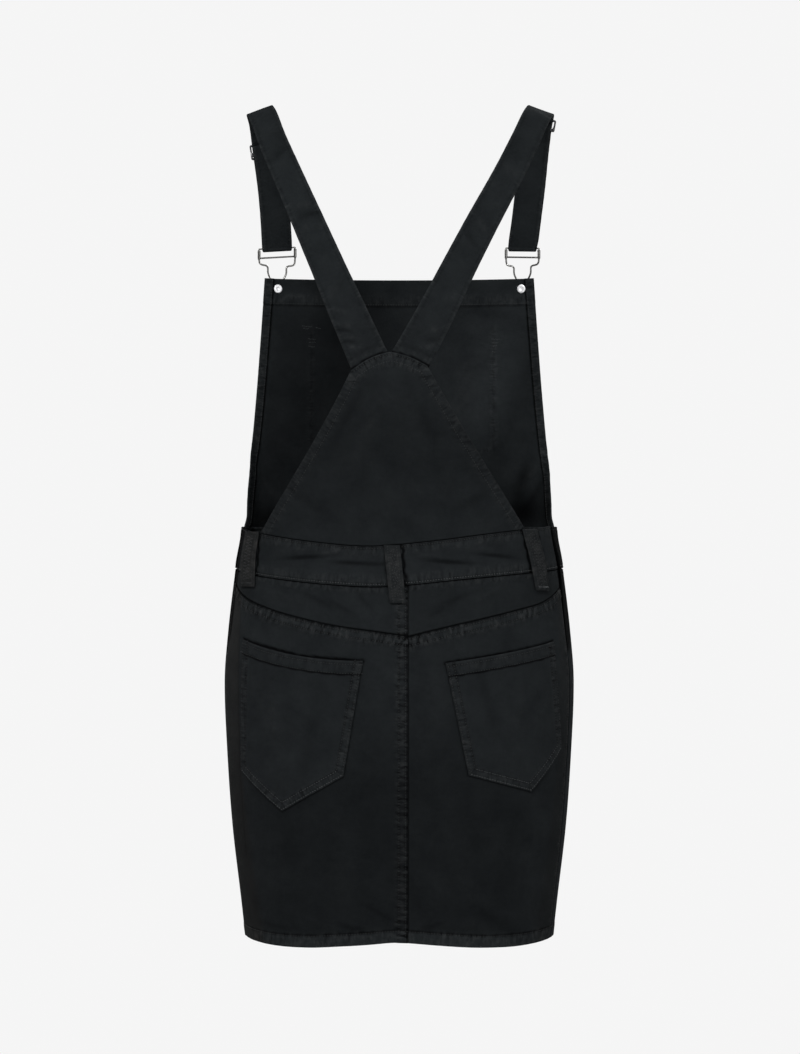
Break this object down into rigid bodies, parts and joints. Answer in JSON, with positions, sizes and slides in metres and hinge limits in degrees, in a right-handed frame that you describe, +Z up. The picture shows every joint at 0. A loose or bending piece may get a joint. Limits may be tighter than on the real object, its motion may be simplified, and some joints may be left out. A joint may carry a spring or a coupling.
{
  "type": "overall dress",
  "caption": "Short denim overall dress in its worn hollow shape: straight skirt with yoke and patch pockets, bib front and back, crossed shoulder straps with wire clasps on buttons.",
  "frame": {"origin": "midway between the two places where the straps rest on the wearer's shoulders, at the straps' underside", "axes": "+Z up, the front faces -Y, +X to the wearer's left"},
  "size_m": [0.3587, 0.2432, 0.8538],
  "materials": {
    "denim": "matt black twill",
    "nickel": "dark nickel",
    "silver": "bright rivet"
  },
  "bodies": {
    "root": {"bib_back": "denim", "bib_front": "denim", "bib_pocket": "denim", "button_bib_left": "silver", "button_bib_right": "silver", "button_left_lower": "nickel", "button_left_upper": "nickel", "button_right_lower": "nickel", "button_right_upper": "nickel", "clasp_left": "nickel", "clasp_right": "nickel", "loop_centre": "denim", "loop_left": "denim", "loop_right": "denim", "placket_left": "denim", "placket_right": "denim", "pocket_left": "denim", "pocket_right": "denim", "skirt_back_left": "denim", "skirt_back_right": "denim", "skirt_front": "denim", "slider_left": "nickel", "slider_right": "nickel", "strap_left": "denim", "strap_right": "denim", "waistband_back": "denim", "waistband_front": "denim", "yoke_left": "denim", "yoke_right": "denim"}
  },
  "joints": []
}
